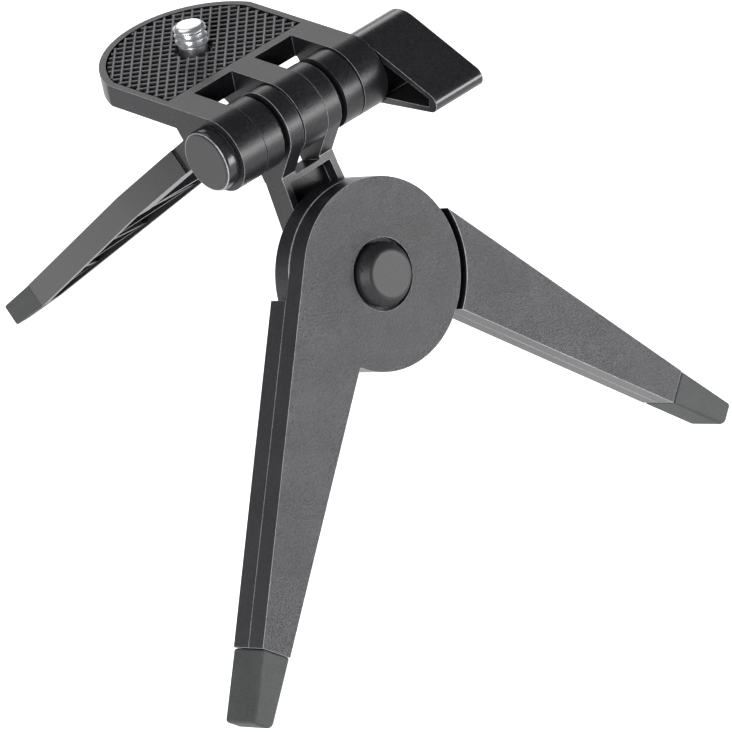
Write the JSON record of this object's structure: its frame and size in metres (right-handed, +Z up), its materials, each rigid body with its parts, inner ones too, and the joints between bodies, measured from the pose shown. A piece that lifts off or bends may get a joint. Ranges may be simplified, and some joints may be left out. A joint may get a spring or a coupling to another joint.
{
  "type": "folding mini tripod",
  "caption": "Small folding tabletop tripod with a tilting platform, camera screw, wing knob and three folding legs.",
  "frame": {"origin": "on the table, under the middle of the open tripod's bounding box", "axes": "+Z up, +X along the tilt bolt towards the wing knob, +Y towards the rear leg"},
  "size_m": [0.1298, 0.141, 0.0976],
  "materials": {
    "abs_grained_black": "fine spark-eroded grain",
    "abs_satin_black": "satin",
    "rubber_black": "matt",
    "pad_rubber": "matt, moulded slots",
    "chromed_steel": "bright chrome",
    "zinc_steel": "zinc plated",
    "brass": "turned",
    "nylon_black": "matt"
  },
  "bodies": {
    "neck_body": {"neck": "abs_satin_black", "hub_axle": "zinc_steel", "hub_cap": "abs_satin_black", "hub_spring": "zinc_steel", "hub_nut": "zinc_steel", "tilt_bolt": "zinc_steel", "bolt_cap": "abs_satin_black", "friction_washers": "nylon_black"},
    "platform_body": {"platform": "abs_grained_black", "platform_pad": "pad_rubber", "camera_screw": "chromed_steel"},
    "knob_body": {"wing_knob": "abs_satin_black", "knob_insert": "brass"},
    "left_leg_body": {"left_front_shell": "abs_grained_black", "left_rear_shell": "abs_grained_black", "left_foot": "rubber_black"},
    "right_leg_body": {"right_front_shell": "abs_grained_black", "right_rear_shell": "abs_grained_black", "right_foot": "rubber_black"},
    "rear_leg_body": {"rear_leg": "abs_grained_black", "rear_foot": "rubber_black"}
  },
  "joints": [
    {"name": "platform_tilt", "type": "hinge", "parent": "neck_body", "child": "platform_body", "pos_m": [0, -0.0211, 0.08828], "axis": [1, 0, 0], "range_deg": [-12, 92]},
    {"name": "knob_turn", "type": "hinge", "parent": "neck_body", "child": "knob_body", "pos_m": [0, -0.0211, 0.08828], "axis": [1, 0, 0], "continuous": true},
    {"name": "left_leg_fold", "type": "hinge", "parent": "neck_body", "child": "left_leg_body", "pos_m": [0, -0.03926, 0.05926], "axis": [0, -0.9045, 0.4265], "range_deg": [0, 43.5]},
    {"name": "right_leg_fold", "type": "hinge", "parent": "neck_body", "child": "right_leg_body", "pos_m": [0, -0.03926, 0.05926], "axis": [0, 0.9045, -0.4265], "range_deg": [0, 43.5]},
    {"name": "rear_leg_fold", "type": "hinge", "parent": "neck_body", "child": "rear_leg_body", "pos_m": [0, -0.0211, 0.08828], "axis": [-1, 0, 0], "range_deg": [0, 69]}
  ]
}
